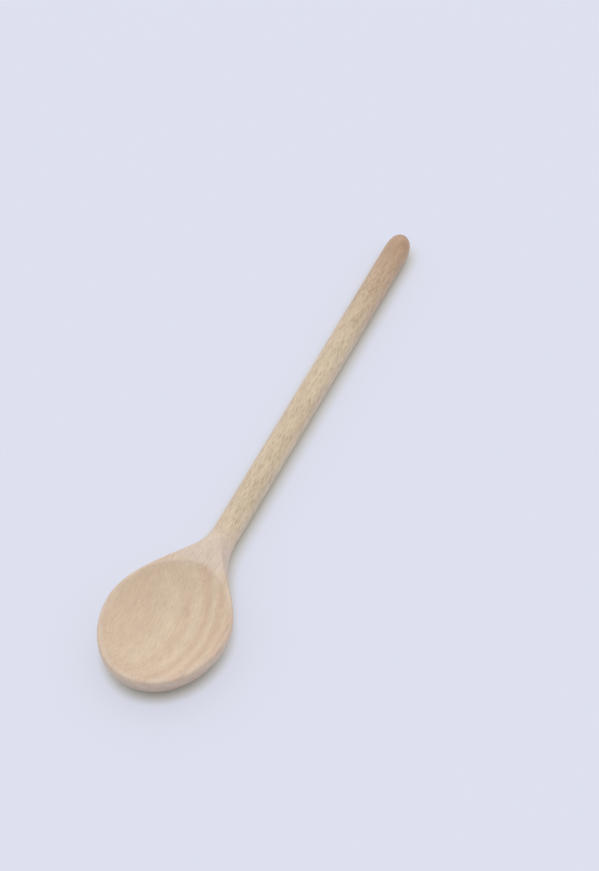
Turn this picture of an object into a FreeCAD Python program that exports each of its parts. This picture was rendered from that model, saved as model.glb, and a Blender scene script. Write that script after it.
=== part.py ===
"""Wooden spoon, carved from one stick of beech, lying on its belly with the hollow up.

Millimetres. +X runs from the bowl to the end of the handle, +Y across the bowl, +Z up.
The origin is on the ground, under the middle of the spoon's length.
The stick is stored as two solids, bowl and handle, which meet on one plane across the neck.
"""
import FreeCAD, Part
import math
import os

from FreeCAD import Vector

os.makedirs("parts", exist_ok=True)

# Driving dimensions
overall_length = 300.0       # front of the bowl to the end of the handle
handle_diameter = 12.4
nose_length = 12.0           # rounded end of the handle
bowl_width = 57.0            # at the widest section
bowl_front = 36.0            # from the widest section to the front of the bowl
bowl_height = 16.0           # ground to rim
girth_height = 14.0          # ground to where the bowl's outer wall is widest
neck_length = 60.0           # from the widest section to where the handle is fully round
rim_width = 1.6              # between the hollow and the outer wall, at the sides
rim_front = 2.2              # the same at the front
hollow_depth = 8.0           # below the rim
hollow_reach = 32.0          # from the widest section to the hollow's back edge, on the neck
rim_back = 3.0               # level wood behind the hollow, before the neck's top slopes down
facet_fade = 0.3             # the neck's flat top runs out this far above the round handle

# Forms of the curves, without a unit
shoulder_power = 2.9         # a higher power draws the shoulders in closer to the bowl
belly_fullness = 0.75        # handles of the bowl's quarter curves, as a share of their sides
round_fullness = 0.5523      # the share that makes a quarter curve round
hollow_power = 6             # a higher power keeps the hollow wide until close to its back edge

# Counts and working margins
neck_sections = 13
hollow_points = 9            # on each quarter of the hollow's outline
hollow_levels = 8            # outlines of the hollow, from its floor to above the rim
hollow_flat = 0.1            # the lowest of them, as a share of the hollow's outline
blank_rise = 16.0            # wood above the rim that the top cut takes away
cutter_margin = 5.0          # how far a cutting shape stands out of the wood

# Places that follow from the sizes above
handle_radius = handle_diameter / 2
half_width = bowl_width / 2
x_front = -overall_length / 2
x_end = overall_length / 2
x_widest = x_front + bowl_front
x_neck = x_widest + neck_length
x_hollow_back = x_widest + hollow_reach
x_slope = x_hollow_back + rim_back
z_blank = bowl_height + blank_rise
z_run_out = handle_diameter + facet_fade


def fade(x):
    """1 at the widest section, falling to 0 with no slope where the handle is round."""
    along = (x - x_widest) / neck_length
    return max(0.0, 1 - along ** 2) ** shoulder_power


def half_width_at(x):
    """Half width of the spoon's outline, behind the widest section."""
    return handle_radius + (half_width - handle_radius) * fade(x)


def top_line(x, z_end):
    """Height of a side profile's top: level over the hollow, then easing down to z_end along the neck."""
    along = (x - x_slope) / (x_neck - x_slope)
    along = min(max(along, 0.0), 1.0)
    step = along ** 2 * (3 - 2 * along)
    return bowl_height + (z_end - bowl_height) * step


def quarter(x, start, corner, end, fullness):
    """Quarter curve across the spoon at x, leaving start and reaching end along the sides of the corner."""
    first = start + (corner - start) * fullness
    second = end + (corner - end) * fullness
    poles = [Vector(x, point.x, point.y) for point in (start, first, second, end)]
    curve = Part.BezierCurve()
    curve.setPoles(poles)
    return curve.toShape()


def half_section(x, side):
    """Lower and upper quarter curves of the blank's oval on one side, from the ground up to the crest."""
    share = fade(x)
    wide = side * half_width_at(x)
    girth = handle_radius + (girth_height - handle_radius) * share
    crest = top_line(x, handle_diameter) + blank_rise * share
    full = round_fullness + (belly_fullness - round_fullness) * share
    ground = Vector(0, 0, 0)
    widest = Vector(wide, girth, 0)
    top = Vector(0, crest, 0)
    lower = quarter(x, ground, Vector(wide, 0, 0), widest, full)
    upper = quarter(x, widest, Vector(wide, crest, 0), top, full)
    return [lower, upper]


def stretched(shape, centre, factor):
    """The shape made longer along X by the factor, about a centre that stays where it is."""
    moved = shape.copy()
    moved.translate(-centre)
    matrix = FreeCAD.Matrix()
    matrix.scale(factor, 1, 1)
    moved = moved.transformGeometry(matrix)
    moved.translate(centre)
    return moved


def front_blank():
    """Front half of the bowl: the widest section turned half round, stretched to the bowl's front."""
    base = Vector(x_widest, 0, 0)
    top = Vector(x_widest, 0, z_blank)
    outline = Part.Wire(half_section(x_widest, 1) + [Part.makeLine(top, base)])
    half = Part.Face(outline).revolve(base, Vector(0, 0, 1), 180)
    return stretched(half, base, bowl_front / half_width)


def back_blank():
    """Back half of the bowl and the neck: ovals that shrink to the handle's circle."""
    sections = []
    for index in range(neck_sections):
        x = x_widest + neck_length * index / (neck_sections - 1)
        right = half_section(x, 1)
        left = half_section(x, -1)
        sections.append(Part.Wire([right[0], right[1], left[1], left[0]]))
    return Part.makeLoft(sections, True, False)


def top_cutter():
    """What lies above the side profile: level over the hollow, then an S curve down along the neck."""
    x_start = x_front - cutter_margin
    x_stop = x_neck + cutter_margin
    z_high = z_blank + cutter_margin
    third = (x_neck - x_slope) / 3
    ease = Part.BezierCurve()
    ease.setPoles([
        Vector(x_slope, 0, bowl_height),
        Vector(x_slope + third, 0, bowl_height),
        Vector(x_neck - third, 0, z_run_out),
        Vector(x_neck, 0, z_run_out),
    ])
    corners = [
        Vector(x_neck, 0, z_run_out),
        Vector(x_stop, 0, z_run_out),
        Vector(x_stop, 0, z_high),
        Vector(x_start, 0, z_high),
        Vector(x_start, 0, bowl_height),
        Vector(x_slope, 0, bowl_height),
    ]
    lines = [Part.makeLine(a, b) for a, b in zip(corners, corners[1:])]
    face = Part.Face(Part.Wire([ease.toShape()] + lines))
    reach = half_width + cutter_margin
    face.translate(Vector(0, -reach, 0))
    return face.extrude(Vector(0, 2 * reach, 0))


def hollow_half_width(x):
    """Half width of the hollow at the rim: inside the outer wall by the rim, closing to 0 at its back edge."""
    along = (x - x_widest) / hollow_reach
    return (half_width_at(x) - rim_width) * max(0.0, 1 - along ** hollow_power) ** 0.5


def hollow_outline(share, z):
    """Closed level curve: the hollow's outline at the rim, shrunk about the widest section by the share."""
    turns = [math.pi / 2 * index / hollow_points for index in range(hollow_points)]
    side = half_width - rim_width
    front = bowl_front - rim_front
    back = [(hollow_reach * math.cos(turn), hollow_half_width(x_widest + hollow_reach * math.cos(turn)))
            for turn in turns]
    ahead = [(-front * math.sin(turn), side * math.cos(turn)) for turn in turns]
    half = back + ahead + [(-front, 0.0)]
    mirrored = [(u, -v) for u, v in half[-2:0:-1]]
    points = [Vector(x_widest + share * u, share * v, z) for u, v in half + mirrored]
    curve = Part.BSplineCurve()
    curve.interpolate(Points=points, PeriodicFlag=True)
    return Part.Wire(curve.toShape())


def hollow_cutter():
    """Shallow dish: level outlines that shrink downwards as the rings of a ball's cap do."""
    across = half_width - rim_width
    ball = (across ** 2 + hollow_depth ** 2) / (2 * hollow_depth)
    z_centre = bowl_height - hollow_depth + ball
    share_top = 1 + (1 - hollow_flat) / (hollow_levels - 2)
    outlines = []
    for index in range(hollow_levels):
        share = hollow_flat + (share_top - hollow_flat) * index / (hollow_levels - 1)
        z = z_centre - (ball ** 2 - (share * across) ** 2) ** 0.5
        outlines.append(hollow_outline(share, z))
    return Part.makeLoft(outlines, True, False)


def make_bowl():
    """The blank, front and back, with the side profile and then the hollow cut out of it."""
    blank = front_blank().fuse(back_blank())
    return blank.cut(top_cutter()).cut(hollow_cutter())


def make_handle():
    """Round stick turned about its own axis, which lies one radius above the ground."""
    x_nose = x_end - nose_length
    start = Vector(x_neck, 0, handle_radius)
    shoulder = Vector(x_neck, handle_radius, handle_radius)
    nose = Vector(x_nose, handle_radius, handle_radius)
    tip = Vector(x_end, 0, handle_radius)
    curve = Part.BezierCurve()
    curve.setPoles([
        nose,
        nose + Vector(nose_length * round_fullness, 0, 0),
        tip + Vector(0, handle_radius * round_fullness, 0),
        tip,
    ])
    outline = Part.Wire([
        Part.makeLine(start, shoulder),
        Part.makeLine(shoulder, nose),
        curve.toShape(),
        Part.makeLine(tip, start),
    ])
    return Part.Face(outline).revolve(start, Vector(1, 0, 0), 360)


nodes = {
    "bowl": make_bowl(),
    "handle": make_handle(),
}

for name, shape in nodes.items():
    box = shape.optimalBoundingBox(False)
    print(name, "solids", len(shape.Solids), "valid", shape.isValid(), "volume cm3", round(shape.Volume / 1000, 2),
          "box", [round(v, 2) for v in (box.XMin, box.XMax, box.YMin, box.YMax, box.ZMin, box.ZMax)])
    shape.exportStep("parts/" + name + ".step")
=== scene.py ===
"""Wooden spoon in raw, sanded beech, on a pale floor under soft studio light.

Metres. +X runs from the bowl to the end of the handle, +Y across the bowl to its left, +Z up.
The bowl with its neck, and the handle, are surfaces worked out from the spoon's sizes, one for each solid.
"""
import math

import bmesh
import bpy
import numpy as np
from bpy.props import FloatProperty, FloatVectorProperty, PointerProperty
from bpy.types import Node, NodeSocket, Operator, Panel, PropertyGroup
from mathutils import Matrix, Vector


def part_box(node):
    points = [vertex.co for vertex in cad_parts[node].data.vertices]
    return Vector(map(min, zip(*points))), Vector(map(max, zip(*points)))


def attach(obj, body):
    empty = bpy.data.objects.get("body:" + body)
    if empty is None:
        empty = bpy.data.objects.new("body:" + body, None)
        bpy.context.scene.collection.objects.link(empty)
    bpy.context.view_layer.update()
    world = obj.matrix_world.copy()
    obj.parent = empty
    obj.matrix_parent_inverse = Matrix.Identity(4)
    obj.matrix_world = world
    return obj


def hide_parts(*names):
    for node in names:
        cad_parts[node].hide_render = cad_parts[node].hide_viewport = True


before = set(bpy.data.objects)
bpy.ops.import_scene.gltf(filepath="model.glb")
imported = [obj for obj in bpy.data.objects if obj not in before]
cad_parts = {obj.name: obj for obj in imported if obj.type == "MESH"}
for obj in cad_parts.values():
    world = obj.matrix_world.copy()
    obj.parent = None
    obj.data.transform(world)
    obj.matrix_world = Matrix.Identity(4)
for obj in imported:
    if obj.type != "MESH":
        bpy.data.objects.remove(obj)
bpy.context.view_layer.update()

bl_info = {
    "name": "Beech Spoon",
    "version": (1, 0, 0),
    "blender": (4, 5, 0),
    "location": "View3D > Sidebar > Spoon",
    "description": "Builds a carved beech spoon, its wood and a small studio",
    "category": "Object",
}

MM = 0.001
bowl_low, bowl_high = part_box("bowl")
handle_low, handle_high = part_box("handle")
BODY = "root"

# Forms of the curves, without a unit
SHOULDER_POWER = 2.9     # a higher power draws the shoulders in closer to the bowl
LEFT_SHOULDER = 2.6      # the same for the outline on the left, where the carver left more wood
RIGHT_SHOULDER = 3.2     # and on the right
BELLY_FULLNESS = 0.75    # handles of the bowl's quarter curves, as a share of their sides
ROUND_FULLNESS = 0.5523  # the share that makes a quarter curve round
LEFT_NOSE = 0.72         # the share for the left of the handle's end, which is blunter
HOLLOW_POWER = 6         # a higher power keeps the hollow wide until close to its back edge
FAN_POWER = 8            # a higher power keeps the rim's lines square to it until close to the neck

# Steps of the grids
FRONT_STEPS = 56
BACK_STEPS = 72
NECK_STEPS = 20
HOLLOW_STEPS = 26
ROUND_STEPS = 6
RIM_STEPS = 8
WALL_STEPS = 6
BELLY_STEPS = 30
HANDLE_STEPS = 40
NOSE_STEPS = 24
HANDLE_SIDES = 96
HALVINGS = 48            # of an interval, when a crossing is searched for
EDGE_STEP = 0.01         # back along a quarter curve, to measure how fast it runs at the edge
MERGE_DISTANCE = 0.001 * MM
SHARP_ANGLE = math.radians(60)

# Patterns of the wood, as values of their nodes
WAVE_PERIOD = 2 * math.pi / 20  # of rings at scale 1
PATTERN_MIDDLE = 0.5            # mean of a noise, and of rings
FLECK_EDGE = 0.55               # distance from the point of a cell where its fleck ends
FLECK_CORE = 0.1                # and where the fleck is full
FAINT_CELL = 0.2                # random value of the cells with the faintest flecks
DARK_CELL = 0.8                 # and of those with the darkest
FIBRE_LOW = 0.3                 # noise where the fibres are darkest
FIBRE_HIGH = 0.7                # and where they are lightest
FIBRE_DARK = 0.95               # what the darkest fibres leave of the wood's colour
FIBRE_LIGHT = 1.04              # and the lightest
CLOUD_LEVEL = 0.99              # what the clouds leave of it on average
BUMP_STRENGTH = 0.25

# Sockets of the node that mixes two colours
MIX_SHARE = 0
MIX_FIRST = 6
MIX_SECOND = 7


def linear(code):
    """The linear colour of an sRGB hex code."""
    values = np.array([int(code[start:start + 2], 16) / 255 for start in (0, 2, 4)])
    toe = values / 12.92
    curve = ((values + 0.055) / 1.055) ** 2.4
    return tuple(np.where(values <= 0.04045, toe, curve).tolist())


def length(name, description, default):
    """A property that holds a length in metres."""
    return FloatProperty(name=name, description=description, default=default, min=0,
                         unit="LENGTH", precision=5)


def angle(name, description, default):
    """A property that holds an angle in radians."""
    return FloatProperty(name=name, description=description, default=default, subtype="ANGLE")


def portion(name, description, default):
    """A property that holds a share, from 0 to 1."""
    return FloatProperty(name=name, description=description, default=default, min=0, max=1,
                         subtype="FACTOR")


def brightness(name, description, default):
    """A property that holds the strength of a light."""
    return FloatProperty(name=name, description=description, default=default, min=0)


def colour(name, description, code):
    """A property that holds a colour, given as an sRGB hex code."""
    return FloatVectorProperty(name=name, description=description, default=linear(code), subtype="COLOR",
                               size=3, min=0, max=1)


class SpoonSizes(PropertyGroup):
    """Sizes of the wood."""

    bowl_width: length("Bowl width", "At the widest section", bowl_high.y - bowl_low.y)
    bowl_front: length("Bowl front", "From the widest section to the front of the bowl", 36 * MM)
    bowl_height: length("Bowl height", "Ground to rim", bowl_high.z)
    girth_height: length("Girth height", "Ground to where the bowl's outer wall is widest", 14 * MM)
    handle_diameter: length("Handle diameter", "Of the round stick", handle_high.z)
    nose_length: length("Nose length", "Rounded end of the handle", 12 * MM)
    rim_width: length("Rim width", "Between the hollow and the outer wall, at the sides", 1.6 * MM)
    rim_front: length("Rim at the front", "Between the hollow and the outer wall, at the front", 2.2 * MM)
    rim_back: length("Rim at the back", "Level wood behind the hollow, before the neck slopes down", 3 * MM)
    hollow_depth: length("Hollow depth", "Below the rim", 8 * MM)
    hollow_reach: length("Hollow reach", "From the widest section to the hollow's back edge", 32 * MM)
    blank_rise: length("Blank rise", "Wood above the rim that the flat top takes away", 16 * MM)
    facet_fade: length("Facet fade", "How far above the handle the neck's flat top runs out", 0.3 * MM)
    sanding: length("Sanding", "How far the rim's inner edge is rounded", 0.6 * MM)
    outer_sanding: length("Outer sanding", "How far the outer edge of the flat top is rounded", 1.1 * MM)

    @property
    def half_width(self):
        return self.bowl_width / 2

    @property
    def handle_radius(self):
        return self.handle_diameter / 2

    @property
    def widest_x(self):
        return bowl_low.x + self.bowl_front

    @property
    def hollow_back_x(self):
        return self.widest_x + self.hollow_reach

    @property
    def slope_x(self):
        return self.hollow_back_x + self.rim_back

    @property
    def neck_x(self):
        return handle_low.x


class SpoonWood(PropertyGroup):
    """Colours and grain of the beech."""

    early: colour("Early wood", "Pale start of each year's ring", "E4CEB0")
    late: colour("Late wood", "Warm end of each year's ring", "D8BA9C")
    # Painted light: a pale colour for a highlight on the rim and for light on the upright walls and the neck
    painted_light: colour("Fresh wood", "On the rim, the walls and the neck", "DECBB9")
    worn: colour("Worn wood", "Along the handle", "D2CDA5")
    soaked: colour("Soaked wood", "Along the last part of the handle", "BC9877")
    fleck: colour("Flecks", "What a short dark ray fleck leaves of the wood's colour", "CFC0B2")
    # Painted shade: darkens and warms the belly where it turns down to the floor
    belly_shade: colour("Underside", "What the belly leaves of it, where it turns to the floor", "CABFA9")
    # Real end grain on the handle's end, and painted shade on the hollow's front slope
    end_grain_and_shade: colour("End grain", "Where the fibres are cut across", "A47C56")

    heart_left: length("Heart to the left", "From the spoon's middle to the heart of the tree", 82.6 * MM)
    heart_depth: length("Heart depth", "From the floor down to the heart of the tree", 138.5 * MM)
    heart_turn: angle("Heart turn", "To the left, towards the handle's end", math.radians(3.5))
    heart_dip: angle("Heart dip", "Downwards, towards the handle's end", math.radians(0.6))
    ring_width: length("Ring width", "One year's growth", 5.8 * MM)
    ring_phase: angle("Ring phase", "Where in a year's growth the rings start", 4.06)
    ring_waver: length("Ring waver", "How far the rings stray from circles", 3 * MM)
    waver_length: length("Waver length", "Of the clouds that the rings stray with, along the grain", 70 * MM)
    waver_width: length("Waver width", "Of the same clouds, across the grain", 22 * MM)
    band_length: length("Band length", "Of the broad bands, along the grain", 90 * MM)
    band_width: length("Band width", "Of the broad bands, across the grain", 14 * MM)
    mottle_length: length("Mottle length", "Of the clouds between the flecks, along the grain", 9 * MM)
    mottle_width: length("Mottle width", "Of the same clouds, across the grain", 2.2 * MM)

    # Real fibres and flecks are too fine to show in the picture, so both are drawn as wide as they need
    fibre_length: length("Fibre length", "Fine streaks, along the grain", 42 * MM)
    fibre_width: length("Fibre width", "Fine streaks, across the grain", 0.7 * MM)
    fibre_relief: length("Fibre relief", "Height of the fibres on the sanded wood", 0.06 * MM)
    fleck_length: length("Fleck length", "Along the grain", 4.2 * MM)
    fleck_width: length("Fleck width", "Across the grain", 0.55 * MM)

    faint_rings: portion("Faint rings", "Their strength on the left of the bowl", 0.1)
    clear_rings: portion("Clear rings", "Their strength on the right of the bowl", 0.7)
    # Shares of painted light on the rim, the upright walls and the neck
    painted_rim_light: portion("Pale rim", "Share of fresh wood on the rim", 0.25)
    painted_wall_light: portion("Pale walls", "Share of fresh wood on the upright walls", 0.6)
    painted_neck_light: portion("Pale neck", "Share of fresh wood on the neck", 0.65)
    wear: portion("Wear", "Share of worn wood along the handle", 0.2)
    faint_fleck: portion("Faint fleck", "Strength of the faintest beside the darkest", 0.3)
    bowl_flecks: portion("Bowl flecks", "Strength on the bowl beside the handle's", 0.35)
    end_flecks: portion("End flecks", "What wear leaves of them on the handle's rounded end", 0.25)
    bowl_mottle: portion("Bowl mottle", "Strength of the clouds on the bowl", 0.2)
    handle_mottle: portion("Handle mottle", "Strength of the clouds on the handle", 0.36)
    # End grain on the handle's end, and painted shade on other slopes that face along the stick
    end_face_and_shade: portion("End face", "Share of end grain where the wood faces along the stick", 0.5)
    end_spot: portion("End spot", "Share of end grain in a spot on the right of the tip", 0.4)


class SpoonStage(PropertyGroup):
    """Camera, light and floor."""

    azimuth: angle("Camera azimuth", "Round the object; 0 looks along +Y", math.radians(-65.56))
    elevation: angle("Camera elevation", "Above the floor", math.radians(49.5))
    distance: length("Camera distance", "From the point that it looks at", 1113.7 * MM)
    look_at: FloatVectorProperty(name="Look at", description="Point on the floor in the middle of the view",
                                 default=(15.39 * MM, -3.74 * MM, 0), subtype="XYZ", unit="LENGTH")
    field: angle("Field of view", "Over the picture's height", math.radians(20.69))
    lamp_spread: angle("Lamp spread", "How wide each lamp looks from the spoon", math.radians(80))
    key_strength: brightness("Key strength", "Of the broad lamp above the handle", 0.2)
    key_azimuth: angle("Key azimuth", "Of the lamp, from +X towards +Y", math.radians(20))
    key_elevation: angle("Key elevation", "Of the lamp, above the floor", math.radians(55))
    fill_strength: brightness("Fill strength", "Of the broad lamp low on the right", 0.34)
    fill_azimuth: angle("Fill azimuth", "Of the lamp, from +X towards +Y", math.radians(-80))
    fill_elevation: angle("Fill elevation", "Of the lamp, above the floor", math.radians(12))
    sky_azimuth: angle("Sky azimuth", "Of the brightest side, from +X towards +Y", math.radians(45))
    sky_elevation: angle("Sky elevation", "Of the brightest side, above the floor", math.radians(50))
    sky_low: brightness("Sky low", "Strength opposite the brightest side", 0.1)
    sky_high: brightness("Sky high", "Strength on the brightest side", 1.18)
    sky: colour("Sky", "Colour of the soft light", "F6F8FF")
    floor: colour("Floor", "Pale matt board", "E0E2EF")
    warmed: colour("Warmed floor", "Beside the spoon, with the light that comes off the wood", "D9D7CE")
    floor_glow: portion("Floor glow", "Share of the floor's colour that needs no light", 0.7)
    contact: length("Contact", "Width of the full shadow beside the spoon", 7 * MM)
    dark_sky: portion("Dark sky", "Open sky over the floor up to which it has no glow", 0.3)
    lit_sky: portion("Lit sky", "Open sky over the floor from which it has its full glow", 0.95)
    warm_sky: portion("Warm sky", "Open sky over the floor up to which it is fully warmed", 0.4)
    floor_size: length("Floor size", "Width of the floor", 8000 * MM)


def fade(sizes, x, power=SHOULDER_POWER):
    """(1 - u^2) to a power, from 1 at the widest section to 0, with no slope, where the handle is round."""
    along = (x - sizes.widest_x) / (sizes.neck_x - sizes.widest_x)
    return np.clip(1 - along ** 2, 0, 1) ** power


def half_width_at(sizes, x, shoulder):
    """Half width of the outline: the handle's radius, plus what the bowl has more, times the side's fade."""
    return sizes.handle_radius + (sizes.half_width - sizes.handle_radius) * fade(sizes, x, shoulder)


def top_line(sizes, x, z_end):
    """Height of the side profile: the rim's, then a smooth step down along the neck to z_end."""
    along = np.clip((x - sizes.slope_x) / (sizes.neck_x - sizes.slope_x), 0, 1)
    return sizes.bowl_height + (z_end - sizes.bowl_height) * along ** 2 * (3 - 2 * along)


def flat_top(sizes, x):
    """Height of the flat on the bowl and neck, which runs out just above the handle."""
    return top_line(sizes, x, sizes.handle_diameter + sizes.facet_fade)


def crest(sizes, x):
    """Top of the uncut oval section: the neck's line to the handle, with the blank's rise over the bowl."""
    return top_line(sizes, x, sizes.handle_diameter) + sizes.blank_rise * fade(sizes, x)


def bezier(a, b, c, d, t):
    """Cubic Bezier curve from a to d, with handles b and c."""
    return a * (1 - t) ** 3 + 3 * b * t * (1 - t) ** 2 + 3 * c * t ** 2 * (1 - t) + d * t ** 3


def fullness(sizes, x):
    """Handles of the section's quarter curves: full over the bowl, round at the handle."""
    return ROUND_FULLNESS + (BELLY_FULLNESS - ROUND_FULLNESS) * fade(sizes, x)


def girth(sizes, x):
    """Height where the section is widest."""
    return sizes.handle_radius + (sizes.girth_height - sizes.handle_radius) * fade(sizes, x)


def upper_quarter(sizes, x, shoulder, t):
    """Half width and height on the section's upper quarter curve, from the girth at t = 0 to the crest at
    t = 1."""
    wide = half_width_at(sizes, x, shoulder)
    full = fullness(sizes, x)
    middle = girth(sizes, x)
    top = crest(sizes, x)
    across = bezier(wide, wide, wide * full, 0 * wide, t)
    height = bezier(middle, middle + (top - middle) * full, top, top, t)
    return across, height


def lower_quarter(sizes, x, shoulder, t):
    """Half width and height on the section's lower quarter curve, from the keel at t = 0 to the girth at
    t = 1."""
    wide = half_width_at(sizes, x, shoulder)
    full = fullness(sizes, x)
    middle = girth(sizes, x)
    across = bezier(0 * wide, wide * full, wide, wide, t)
    height = bezier(0 * middle, 0 * middle, middle * (1 - full), middle, t)
    return across, height


def crossing(rising, low, high):
    """Where a rising function of an array passes 0 between low and high, by halving the interval."""
    for _ in range(HALVINGS):
        middle = (low + high) / 2
        above = rising(middle) > 0
        low, high = np.where(above, low, middle), np.where(above, middle, high)
    return (low + high) / 2


def bowl_stations(sizes, shoulder):
    """Stations round half of the bowl, as arrays: the section's x, its turn about the bowl's middle, and the
    hollow's outline there. Over the front the widest section turns from straight ahead to square across.
    Behind it the sections follow each other along x, bunched towards the end of the neck's flat, and then
    go on to the handle with no hollow."""
    apex = crossing(lambda x: flat_top(sizes, x) - crest(sizes, x),
                    np.float64(sizes.slope_x), np.float64(sizes.neck_x))
    turns = np.linspace(math.pi / 2, 0, FRONT_STEPS + 1)
    swing = np.sin(np.linspace(0, math.pi / 2, BACK_STEPS + 1))[1:]
    inner = sizes.widest_x + sizes.hollow_reach * swing
    outer = inner + (apex - sizes.hollow_back_x) * swing ** FAN_POWER
    after = np.linspace(apex, sizes.neck_x, NECK_STEPS + 1)[1:]

    section_x = np.concatenate([np.full(FRONT_STEPS + 1, sizes.widest_x), outer, after])
    turn = np.concatenate([turns, np.zeros(BACK_STEPS + NECK_STEPS)])
    side = sizes.half_width - sizes.rim_width
    closing = np.sqrt(np.clip(1 - swing ** HOLLOW_POWER, 0, 1))
    hollow_x = np.concatenate([sizes.widest_x - (sizes.bowl_front - sizes.rim_front) * np.sin(turns), inner])
    behind = (half_width_at(sizes, inner, shoulder) - sizes.rim_width) * closing
    hollow_y = np.concatenate([side * np.cos(turns), behind])
    return section_x, turn, np.stack([hollow_x, hollow_y], -1)


def placed(sizes, section_x, turn, across, height):
    """Points of sections, turned about the bowl's middle and stretched to the bowl's front."""
    stretch = sizes.bowl_front / sizes.half_width
    x = section_x - stretch * across * np.sin(turn)
    y = across * np.cos(turn)
    return np.stack(np.broadcast_arrays(x, y, height), -1)


def rounded(start, corner, end):
    """Quadratic Bezier from start to end, with the sharp corner as its handle, on one more axis."""
    t = np.linspace(0, 1, ROUND_STEPS + 1)[None, 1:, None]
    return start[:, None] * (1 - t) ** 2 + 2 * corner[:, None] * t * (1 - t) + end[:, None] * t ** 2


def unit(vectors):
    """Vectors of length 1 in the same directions, and 0 where there is none."""
    size = np.linalg.norm(vectors, axis=-1, keepdims=True)
    return vectors / np.maximum(size, MERGE_DISTANCE)


def hollow_point(sizes, outline, share):
    """Point of the dish: the rim's outline shrunk about the bowl's middle to a share of its size, as high as
    the cap of a ball is at that share of the cap's own width."""
    middle = np.array([sizes.widest_x, 0])
    across = sizes.half_width - sizes.rim_width
    ball = (across ** 2 + sizes.hollow_depth ** 2) / (2 * sizes.hollow_depth)
    plan = middle + share[..., None] * (outline - middle)
    height = sizes.bowl_height - sizes.hollow_depth + ball - np.sqrt(ball ** 2 - (share * across) ** 2)
    return np.concatenate([plan, height[..., None]], -1)


def outer_edge(sizes, shoulder, section_x, turn, outline):
    """The outer edge at each station, as arrays: the sharp edge, where the flat top cuts the upper quarter
    curve; how far sanding reaches from it; and where on the curve the wall starts. Past the flat's end the
    edge is the crest. The reach is less where the rim is narrow. Divided by the curve's speed, it is the
    step from the edge to the wall's start."""
    top_count = len(outline)
    edge = crossing(lambda t: upper_quarter(sizes, section_x, shoulder, t)[1] - flat_top(sizes, section_x),
                    np.zeros(len(section_x)), np.ones(len(section_x)))
    edge[top_count - 1:] = 1
    across, height = upper_quarter(sizes, section_x, shoulder, edge)
    sharp = placed(sizes, section_x, turn, across, height)
    before = placed(sizes, section_x, turn, *upper_quarter(sizes, section_x, shoulder, edge - EDGE_STEP))
    speed = np.linalg.norm(before - sharp, axis=-1) / EDGE_STEP

    reach = np.minimum(sizes.outer_sanding, across / 2)
    rim_gap = np.linalg.norm(sharp[:top_count, :2] - outline, axis=-1)
    reach[:top_count] = np.minimum(reach[:top_count], rim_gap - sizes.sanding)
    wall_start = np.clip(edge - reach / speed, 0, 1)
    return sharp[:top_count], reach[:top_count, None], wall_start


def bowl_top(sizes, outline, outer, reach, wall_top):
    """Grid of points from the hollow's middle over the rim to the top of the wall. Rounded edges join the
    dish to the flat and the flat to the wall. Their corners are the hollow's outline and the outer edge."""
    inner = np.concatenate([outline, np.full((len(outline), 1), sizes.bowl_height)], -1)
    ray = np.linalg.norm(outline - np.array([sizes.widest_x, 0]), axis=-1)
    share_end = 1 - sizes.sanding / ray
    shares = share_end[:, None] * np.linspace(0, 1, HOLLOW_STEPS + 1)
    hollow = hollow_point(sizes, outline[:, None], shares)

    direction = unit(outer[:, :2] - outline)
    rim_start = np.concatenate([outline + sizes.sanding * direction, inner[:, 2:]], -1)
    rim_end = outer[:, :2] - reach * direction
    along = np.linspace(0, 1, RIM_STEPS + 1)[None, 1:, None]
    rim_plan = rim_start[:, None, :2] * (1 - along) + rim_end[:, None] * along
    rim = np.concatenate([rim_plan, flat_top(sizes, rim_plan[..., :1])], -1)
    inner_edge = rounded(hollow[:, -1], inner, rim_start)
    return np.concatenate([hollow, inner_edge, rim, rounded(rim[:, -1], outer, wall_top)], 1)


def bowl_wall(sizes, shoulder, section_x, turn, wall_start):
    """Grid of points down the section's two quarter curves, from the rounded outer edge past the girth to
    the keel."""
    column = section_x[:, None]
    turned = turn[:, None]
    falling = wall_start[:, None] * np.linspace(1, 0, WALL_STEPS + 1)
    upper = placed(sizes, column, turned, *upper_quarter(sizes, column, shoulder, falling))
    falling = np.linspace(1, 0, BELLY_STEPS + 1)[1:]
    lower = placed(sizes, column, turned, *lower_quarter(sizes, column, shoulder, falling))
    return np.concatenate([upper, lower], 1)


def bowl_half(sizes, shoulder):
    """Two grids of points for one side of the bowl, station by station: the top and the wall."""
    section_x, turn, outline = bowl_stations(sizes, shoulder)
    outer, reach, wall_start = outer_edge(sizes, shoulder, section_x, turn, outline)
    wall = bowl_wall(sizes, shoulder, section_x, turn, wall_start)
    top = bowl_top(sizes, outline, outer, reach, wall[:len(outline), 0])
    return top, wall


def grid_faces(rows, columns, start):
    """Four-cornered faces between neighbouring points of a grid that is numbered row by row."""
    index = start + np.arange(rows * columns).reshape(rows, columns)
    corners = [index[:-1, :-1], index[1:, :-1], index[1:, 1:], index[:-1, 1:]]
    return np.stack(corners, -1).reshape(-1, 4).tolist()


def closed_mesh(name, grids, cap):
    """A closed, smooth mesh of grids of points that share their borders, and a cap, a ring of points."""
    faces = []
    start = 0
    for grid in grids:
        rows, columns = grid.shape[:2]
        faces += grid_faces(rows, columns, start)
        start += rows * columns
    faces.append(list(range(start, start + len(cap))))
    points = np.concatenate([grid.reshape(-1, 3) for grid in grids] + [cap])

    mesh = bpy.data.meshes.new(name)
    mesh.from_pydata(points.tolist(), [], faces)
    made = bmesh.new()
    made.from_mesh(mesh)
    bmesh.ops.remove_doubles(made, verts=made.verts, dist=MERGE_DISTANCE)
    bmesh.ops.recalc_face_normals(made, faces=made.faces)
    made.to_mesh(mesh)
    made.free()
    mesh.shade_smooth()
    mesh.set_sharp_from_angle(angle=SHARP_ANGLE)
    return mesh


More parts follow.
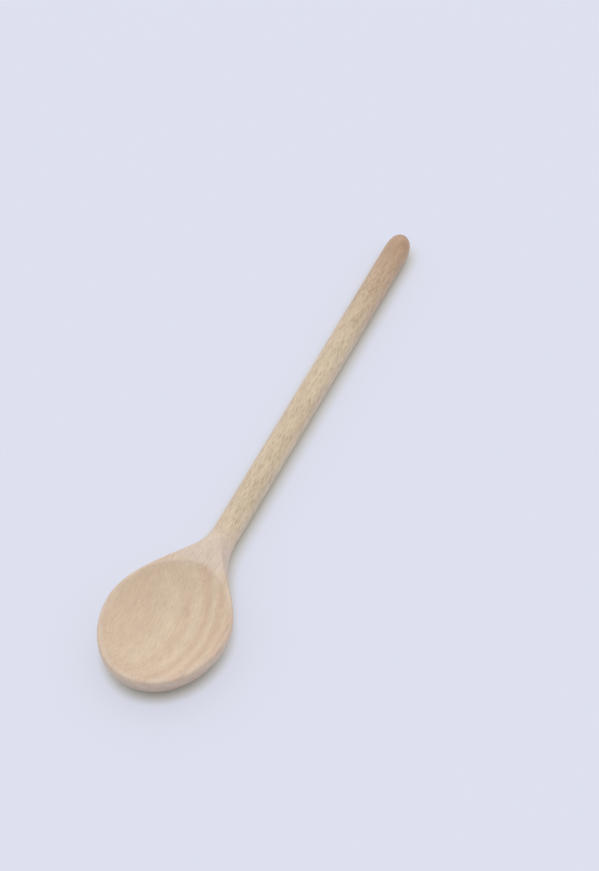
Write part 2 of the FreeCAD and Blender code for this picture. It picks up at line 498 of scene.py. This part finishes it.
def bowl_mesh(sizes):
    """Bowl and neck: the left half, a mirrored right half, and the flat end that meets the handle."""
    left_top, left_wall = bowl_half(sizes, LEFT_SHOULDER)
    right_top, right_wall = (grid * np.array([1, -1, 1]) for grid in bowl_half(sizes, RIGHT_SHOULDER))
    cap = np.concatenate([left_wall[-1], right_wall[-1, -2:0:-1]])
    return closed_mesh("bowl_wood", [left_top, left_wall, right_top, right_wall], cap)


def handle_mesh(sizes):
    """Round stick: a straight run and a nose, turned about the axis one radius above the floor. The nose is
    a quarter curve, round on the right and fuller towards the left."""
    radius = sizes.handle_radius
    nose_x = handle_high.x - sizes.nose_length
    turn = np.linspace(0, 2 * math.pi, HANDLE_SIDES + 1)
    full = ROUND_FULLNESS + (LEFT_NOSE - ROUND_FULLNESS) * (1 + np.sin(turn)) / 2
    t = np.linspace(0, 1, NOSE_STEPS + 1)[:, None]
    straight = np.linspace(sizes.neck_x, nose_x, HANDLE_STEPS + 1)[:-1, None] + 0 * turn
    nose = bezier(nose_x, nose_x + sizes.nose_length * full, handle_high.x, handle_high.x, t)
    closing = bezier(radius, radius, radius * full, 0, t)
    x = np.concatenate([straight, nose])
    reach = np.concatenate([np.full_like(straight, radius), closing])
    points = np.stack([x, reach * np.sin(turn), radius - reach * np.cos(turn)], -1)
    return closed_mesh("handle_wood", [points], points[0, :-1])


def add_node(tree, kind, inputs=None, **settings):
    """One node with its settings and links. An input is a value, a socket, or a node, which gives its first
    live output."""
    node = tree.nodes.new(kind)
    for name, value in settings.items():
        setattr(node, name, value)
    for key, value in (inputs or {}).items():
        if isinstance(value, Node):
            value = next(socket for socket in value.outputs if socket.enabled)
        if isinstance(value, NodeSocket):
            tree.links.new(value, node.inputs[key])
        else:
            node.inputs[key].default_value = value
    return node


def opaque(rgb):
    """A colour socket's value."""
    return (*rgb, 1)


def cell_scale(along, across):
    """Scale that makes a pattern's cells so long along the stick and so wide across it."""
    return (1 / along, 1 / across, 1 / across)


def seen_plainly(tree):
    """1 for what the camera sees, also in a mirror or through glass, and 0 for scattered light."""
    path = add_node(tree, "ShaderNodeLightPath").outputs
    seen = path["Is Camera Ray"]
    for ray in ("Is Glossy Ray", "Is Transmission Ray"):
        seen = add_node(tree, "ShaderNodeMath", {0: seen, 1: path[ray]}, operation="MAXIMUM")
    return seen


def beech_shares(tree, wood, sizes, place, normal):
    """Shares that change along the spoon or with the way the wood faces. Each has what is measured, where
    the change starts and ends, and the share at both ends, which holds beyond them."""
    x, y, z = add_node(tree, "ShaderNodeSeparateXYZ", {0: place}).outputs
    facing_x, _, facing_z = add_node(tree, "ShaderNodeSeparateXYZ", {0: normal}).outputs
    rim_z = sizes.bowl_height
    back_x = sizes.hollow_back_x
    neck_x = sizes.neck_x
    end_x = handle_high.x
    changes = {
        "rings": (y, 8 * MM, -10 * MM, wood.faint_rings, wood.clear_rings),
        # Painted light on the rim, the upright walls and the neck
        "rim": (z, rim_z - 1.1 * MM, rim_z - 0.1 * MM, 0, wood.painted_rim_light),
        "walls": (facing_z, 0.5, 0.2, 0, wood.painted_wall_light),
        "neck": (x, back_x - 1 * MM, back_x + 1 * MM, 0, wood.painted_neck_light),
        "neck_end": (x, neck_x - 3 * MM, neck_x - 13 * MM, 0, wood.painted_neck_light),
        "wear": (x, neck_x - 16 * MM, neck_x + 9 * MM, 0, wood.wear),
        "soaking": (x, end_x - 85 * MM, end_x, 0, 1),
        "flecks": (x, neck_x - 12 * MM, neck_x + 4 * MM, wood.bowl_flecks, 1),
        "fleck_wear": (x, end_x - 40 * MM, end_x - 10 * MM, 1, wood.end_flecks),
        "mottle": (x, neck_x - 12 * MM, neck_x + 4 * MM, wood.bowl_mottle, wood.handle_mottle),
        # Painted shade on the belly, where it faces down, over the bowl only
        "belly": (facing_z, 0, -0.7, 0, 1),
        "belly_end": (x, neck_x - 6 * MM, neck_x - 26 * MM, 0, 1),
        # End grain on the handle's end, and painted shade on the hollow's front slope
        "end_face_and_shade": (facing_x, 0.3, 0.9, 0, wood.end_face_and_shade),
    }
    shares = {}
    for name, (measure, start, end, low, high) in changes.items():
        shares[name] = add_node(tree, "ShaderNodeMapRange", {
            "Value": measure, "From Min": start, "From Max": end, "To Min": low, "To Max": high})
    return shares


def beech_noises(tree, wood, place):
    """Noises drawn out along the stick. Each has the length and the width of its clouds, and its detail."""
    clouds = {
        "waver": (wood.waver_length, wood.waver_width, 2.0),
        "bands": (wood.band_length, wood.band_width, 3.0),
        "fibres": (wood.fibre_length, wood.fibre_width, 2.0),
        "mottle": (wood.mottle_length, wood.mottle_width, 2.0),
    }
    noises = {}
    for name, (along, across, detail) in clouds.items():
        cells = add_node(tree, "ShaderNodeMapping", {"Vector": place, "Scale": cell_scale(along, across)})
        noises[name] = add_node(tree, "ShaderNodeTexNoise", {
            "Vector": cells, "Scale": 1.0, "Detail": detail})
    return noises


def beech_rings(tree, wood, shares, noises, place):
    """Year rings about the heart of the tree, which lay far below the spoon and to its left, nearly along
    it. They are clear on the right of the bowl and faint on its left, among broad bands of both tones."""
    about_heart = add_node(tree, "ShaderNodeMapping", {
        "Vector": place,
        "Location": (0, -wood.heart_left, wood.heart_depth),
        "Rotation": (0, -wood.heart_dip, -wood.heart_turn),
    })
    stray = add_node(tree, "ShaderNodeVectorMath", {
        0: noises["waver"].outputs["Color"], 1: [wood.ring_waver] * 3, 2: about_heart},
        operation="MULTIPLY_ADD")
    rings = add_node(tree, "ShaderNodeTexWave", {
        "Vector": stray, "Scale": WAVE_PERIOD / wood.ring_width, "Phase Offset": wood.ring_phase},
        wave_type="RINGS", rings_direction="X", wave_profile="SIN")
    swing = add_node(tree, "ShaderNodeMath", {
        0: rings.outputs["Fac"], 1: PATTERN_MIDDLE}, operation="SUBTRACT")
    tone = add_node(tree, "ShaderNodeMath", {
        0: swing, 1: shares["rings"], 2: noises["bands"]}, operation="MULTIPLY_ADD")
    return add_node(tree, "ShaderNodeMix", {
        MIX_SHARE: tone, MIX_FIRST: opaque(wood.early), MIX_SECOND: opaque(wood.late)}, data_type="RGBA")


def beech_tones(tree, wood, shares, ringed):
    """Wider tones: painted light that makes the rim, the upright walls and the neck pale, a little yellower
    along the handle, and darker over its last centimetres."""
    neck = add_node(tree, "ShaderNodeMath", {0: shares["neck"], 1: shares["neck_end"]}, operation="MINIMUM")
    # Painted light on the rim and the upright walls, joined with that on the neck below
    cut = add_node(tree, "ShaderNodeMath", {0: shares["rim"], 1: shares["walls"]}, operation="MAXIMUM")
    pale = add_node(tree, "ShaderNodeMath", {0: cut, 1: neck}, operation="MAXIMUM")
    toned = ringed
    for share, tone in ((pale, wood.painted_light), (shares["wear"], wood.worn), (shares["soaking"], wood.soaked)):
        toned = add_node(tree, "ShaderNodeMix", {
            MIX_SHARE: share, MIX_FIRST: toned, MIX_SECOND: opaque(tone)}, data_type="RGBA")
    return toned


def beech_flecks(tree, wood, shares, place, toned):
    """Short dark ray flecks, one in each cell and some darker than others. They are clearest along the
    handle and are worn off its rounded end."""
    drawn_out = add_node(tree, "ShaderNodeMapping", {
        "Vector": place, "Scale": cell_scale(wood.fleck_length, wood.fleck_width)})
    cells = add_node(tree, "ShaderNodeTexVoronoi", {"Vector": drawn_out, "Scale": 1.0, "Randomness": 1.0})
    dash = add_node(tree, "ShaderNodeMapRange", {
        "Value": cells.outputs["Distance"], "From Min": FLECK_EDGE, "From Max": FLECK_CORE})
    strength = add_node(tree, "ShaderNodeMapRange", {
        "Value": cells.outputs["Color"], "From Min": FAINT_CELL, "From Max": DARK_CELL,
        "To Min": wood.faint_fleck})
    for share in (strength, shares["flecks"], shares["fleck_wear"]):
        dash = add_node(tree, "ShaderNodeMath", {0: dash, 1: share}, operation="MULTIPLY")
    return add_node(tree, "ShaderNodeMix", {
        MIX_SHARE: dash, MIX_FIRST: toned, MIX_SECOND: opaque(wood.fleck)},
        data_type="RGBA", blend_type="MULTIPLY")


def beech_shades(tree, wood, shares, noises, flecked):
    """Light and dark of the fibres, times that of small clouds, which are stronger on the handle. Painted
    shade makes the belly darker and warmer where the bowl turns down to the floor."""
    streaks = add_node(tree, "ShaderNodeMapRange", {
        "Value": noises["fibres"], "From Min": FIBRE_LOW, "From Max": FIBRE_HIGH,
        "To Min": FIBRE_DARK, "To Max": FIBRE_LIGHT})
    swing = add_node(tree, "ShaderNodeMath", {
        0: noises["mottle"], 1: PATTERN_MIDDLE}, operation="SUBTRACT")
    clouds = add_node(tree, "ShaderNodeMath", {
        0: swing, 1: shares["mottle"], 2: CLOUD_LEVEL}, operation="MULTIPLY_ADD")
    shade = add_node(tree, "ShaderNodeMath", {0: streaks, 1: clouds}, operation="MULTIPLY")
    shaded = add_node(tree, "ShaderNodeVectorMath", {0: flecked, "Scale": shade}, operation="SCALE")
    # Painted shade: how much the belly is darkened where it faces the floor
    belly = add_node(tree, "ShaderNodeMath", {
        0: shares["belly"], 1: shares["belly_end"]}, operation="MINIMUM")
    return add_node(tree, "ShaderNodeMix", {
        MIX_SHARE: belly, MIX_FIRST: shaded, MIX_SECOND: opaque(wood.belly_shade)},
        data_type="RGBA", blend_type="MULTIPLY")


def beech_ends(tree, wood, shares, place, shaded):
    """Darker colour where the wood faces along the stick: end grain at the handle's end, and painted shade
    on the hollow's front slope; and end grain in a small spot on the right of the tip.
    """
    spot_middle = (handle_high.x - 9 * MM, -3.5 * MM, 10 * MM)
    spot_edge = 3.5 * MM
    spot_core = 1 * MM
    off_spot = add_node(tree, "ShaderNodeVectorMath", {0: place, 1: spot_middle}, operation="DISTANCE")
    spot = add_node(tree, "ShaderNodeMapRange", {
        "Value": off_spot, "From Min": spot_edge, "From Max": spot_core, "To Max": wood.end_spot})
    # End grain, and painted shade where the hollow's front slope faces along the stick
    cut = add_node(tree, "ShaderNodeMath", {0: spot, 1: shares["end_face_and_shade"]}, operation="MAXIMUM")
    return add_node(tree, "ShaderNodeMix", {
        MIX_SHARE: cut, MIX_FIRST: shaded, MIX_SECOND: opaque(wood.end_grain_and_shade)}, data_type="RGBA")


def sanded_beech(wood, sizes):
    """Raw beech, carved and sanded. That gives the eye a matt, pale and warm surface with a faint sheen,
    soft rings and fine fibres along the stick, short dark flecks and a darker end. Painted light makes the
    edges pale, and painted shade darkens the belly and the hollow's front slope."""
    found = bpy.data.materials.get("sanded_beech")
    if found:
        return found
    material = bpy.data.materials.new("sanded_beech")
    material.use_nodes = True
    tree = material.node_tree
    tree.nodes.clear()
    coordinates = add_node(tree, "ShaderNodeTexCoord").outputs
    place = coordinates["Object"]
    shares = beech_shares(tree, wood, sizes, place, coordinates["Normal"])
    noises = beech_noises(tree, wood, place)
    ringed = beech_rings(tree, wood, shares, noises, place)
    toned = beech_tones(tree, wood, shares, ringed)
    flecked = beech_flecks(tree, wood, shares, place, toned)
    shaded = beech_shades(tree, wood, shares, noises, flecked)
    base = beech_ends(tree, wood, shares, place, shaded)
    bump = add_node(tree, "ShaderNodeBump", {
        "Height": noises["fibres"], "Strength": BUMP_STRENGTH, "Distance": wood.fibre_relief})
    shader = add_node(tree, "ShaderNodeBsdfPrincipled", {
        "Base Color": base, "Roughness": 0.62, "IOR": 1.5, "Normal": bump,
        "Sheen Weight": 0.2, "Sheen Roughness": 0.4})
    add_node(tree, "ShaderNodeOutputMaterial", {"Surface": shader})
    return material


def matt_board(stage):
    """Pale painted board without gloss. The camera sees part of its colour whatever the light, but not close
    to the spoon, where it keeps the full shadow and takes a warm tone off the wood."""
    material = bpy.data.materials.new("matt_board")
    material.use_nodes = True
    tree = material.node_tree
    tree.nodes.clear()
    open_sky = add_node(tree, "ShaderNodeAmbientOcclusion", {"Distance": stage.contact}).outputs["AO"]
    warm = add_node(tree, "ShaderNodeMapRange", {
        "Value": open_sky, "From Min": 1.0, "From Max": stage.warm_sky})
    paint = add_node(tree, "ShaderNodeMix", {
        MIX_SHARE: warm, MIX_FIRST: opaque(stage.floor), MIX_SECOND: opaque(stage.warmed)}, data_type="RGBA")
    shader = add_node(tree, "ShaderNodeBsdfPrincipled", {
        "Base Color": paint, "Roughness": 0.9, "Specular IOR Level": 0.1})
    glow = add_node(tree, "ShaderNodeEmission", {"Color": paint, "Strength": 1.0})
    bright = add_node(tree, "ShaderNodeMapRange", {
        "Value": open_sky, "From Min": stage.dark_sky, "From Max": stage.lit_sky,
        "To Max": stage.floor_glow})
    share = add_node(tree, "ShaderNodeMath", {0: seen_plainly(tree), 1: bright}, operation="MULTIPLY")
    mixed = add_node(tree, "ShaderNodeMixShader", {0: share, 1: shader, 2: glow})
    add_node(tree, "ShaderNodeOutputMaterial", {"Surface": mixed})
    return material


def show_piece(context, name, mesh, node):
    """Puts a finished mesh into the scene as a wooden piece that stands for a solid."""
    piece = bpy.data.objects.new(name, mesh)
    context.scene.collection.objects.link(piece)
    mesh.materials.append(sanded_beech(context.scene.spoon_wood, context.scene.spoon_sizes))
    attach(piece, BODY)
    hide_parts(node)


class SPOON_OT_bowl(Operator):
    """Make the bowl and neck"""

    bl_idname = "spoon.bowl"
    bl_label = "Bowl and Neck"

    def execute(self, context):
        show_piece(context, "bowl_and_neck", bowl_mesh(context.scene.spoon_sizes), "bowl")
        return {"FINISHED"}


class SPOON_OT_handle(Operator):
    """Make the round handle"""

    bl_idname = "spoon.handle"
    bl_label = "Handle"

    def execute(self, context):
        show_piece(context, "round_handle", handle_mesh(context.scene.spoon_sizes), "handle")
        return {"FINISHED"}


def direction_of(azimuth, elevation):
    """Unit vector at an angle from +X towards +Y, and above the floor."""
    level = math.cos(elevation)
    return Vector((level * math.cos(azimuth), level * math.sin(azimuth), math.sin(elevation)))


def add_floor(context, stage):
    """A level square of pale board under the spoon, far wider than the view."""
    half = stage.floor_size / 2
    corners = [(-half, -half, 0), (half, -half, 0), (half, half, 0), (-half, half, 0)]
    mesh = bpy.data.meshes.new("floor")
    mesh.from_pydata(corners, [], [(0, 1, 2, 3)])
    mesh.materials.append(matt_board(stage))
    floor = bpy.data.objects.new("floor", mesh)
    context.scene.collection.objects.link(floor)


def add_lamp(context, name, strength, spread, towards):
    """A broad, distant lamp, which lights the whole floor alike."""
    light = bpy.data.lights.new(name, "SUN")
    light.energy = strength
    light.angle = spread
    lamp = bpy.data.objects.new(name, light)
    lamp.location = towards
    lamp.rotation_euler = towards.to_track_quat("Z", "Y").to_euler()
    context.scene.collection.objects.link(lamp)


def add_sky(context, stage):
    """Soft light from all round, brightest above the handle. The camera sees the floor's colour instead."""
    world = bpy.data.worlds.new("studio")
    world.use_nodes = True
    tree = world.node_tree
    tree.nodes.clear()
    outwards = add_node(tree, "ShaderNodeTexCoord").outputs["Generated"]
    brightest = direction_of(stage.sky_azimuth, stage.sky_elevation)
    facing = add_node(tree, "ShaderNodeVectorMath", {0: outwards, 1: brightest}, operation="DOT_PRODUCT")
    rising = add_node(tree, "ShaderNodeMapRange", {
        "Value": facing, "From Min": -1.0, "From Max": 1.0,
        "To Min": stage.sky_low, "To Max": stage.sky_high})
    light = add_node(tree, "ShaderNodeBackground", {"Color": opaque(stage.sky), "Strength": rising})
    seen = add_node(tree, "ShaderNodeBackground", {"Color": opaque(stage.floor), "Strength": 1.0})
    mixed = add_node(tree, "ShaderNodeMixShader", {0: seen_plainly(tree), 1: light, 2: seen})
    add_node(tree, "ShaderNodeOutputWorld", {"Surface": mixed})
    context.scene.world = world


def add_camera(context, stage):
    """Looks at a point on the floor from an azimuth that is 0 along +Y, and from an elevation."""
    lens = bpy.data.cameras.new("camera")
    lens.angle = stage.field
    camera = bpy.data.objects.new("camera", lens)
    towards = direction_of(stage.azimuth - math.pi / 2, stage.elevation)
    camera.location = Vector(stage.look_at) + towards * stage.distance
    camera.rotation_euler = towards.to_track_quat("Z", "Y").to_euler()
    context.scene.collection.objects.link(camera)
    context.scene.camera = camera


class SPOON_OT_stage(Operator):
    """Make the floor, the light and the camera"""

    bl_idname = "spoon.stage"
    bl_label = "Stage"

    def execute(self, context):
        stage = context.scene.spoon_stage
        add_floor(context, stage)
        add_lamp(context, "key", stage.key_strength, stage.lamp_spread,
                 direction_of(stage.key_azimuth, stage.key_elevation))
        add_lamp(context, "fill", stage.fill_strength, stage.lamp_spread,
                 direction_of(stage.fill_azimuth, stage.fill_elevation))
        add_sky(context, stage)
        add_camera(context, stage)
        context.scene.view_settings.view_transform = "Standard"
        return {"FINISHED"}


class SPOON_PT_panel(Panel):
    """Lists the spoon's operators, sizes, wood and stage"""

    bl_idname = "SPOON_PT_panel"
    bl_label = "Beech Spoon"
    bl_space_type = "VIEW_3D"
    bl_region_type = "UI"
    bl_category = "Spoon"

    def draw(self, context):
        layout = self.layout
        for operator in (SPOON_OT_bowl, SPOON_OT_handle, SPOON_OT_stage):
            layout.operator(operator.bl_idname)
        for group in (context.scene.spoon_sizes, context.scene.spoon_wood, context.scene.spoon_stage):
            column = layout.column()
            for name in group.__annotations__:
                column.prop(group, name)


CLASSES = (SpoonSizes, SpoonWood, SpoonStage, SPOON_OT_bowl, SPOON_OT_handle, SPOON_OT_stage, SPOON_PT_panel)


def register():
    for item in CLASSES:
        bpy.utils.register_class(item)
    bpy.types.Scene.spoon_sizes = PointerProperty(type=SpoonSizes)
    bpy.types.Scene.spoon_wood = PointerProperty(type=SpoonWood)
    bpy.types.Scene.spoon_stage = PointerProperty(type=SpoonStage)


def unregister():
    del bpy.types.Scene.spoon_stage
    del bpy.types.Scene.spoon_wood
    del bpy.types.Scene.spoon_sizes
    for item in reversed(CLASSES):
        bpy.utils.unregister_class(item)


def main():
    """Makes both pieces and the stage."""
    register()
    bpy.ops.spoon.bowl()
    bpy.ops.spoon.handle()
    bpy.ops.spoon.stage()


if __name__ == "__main__":
    main()
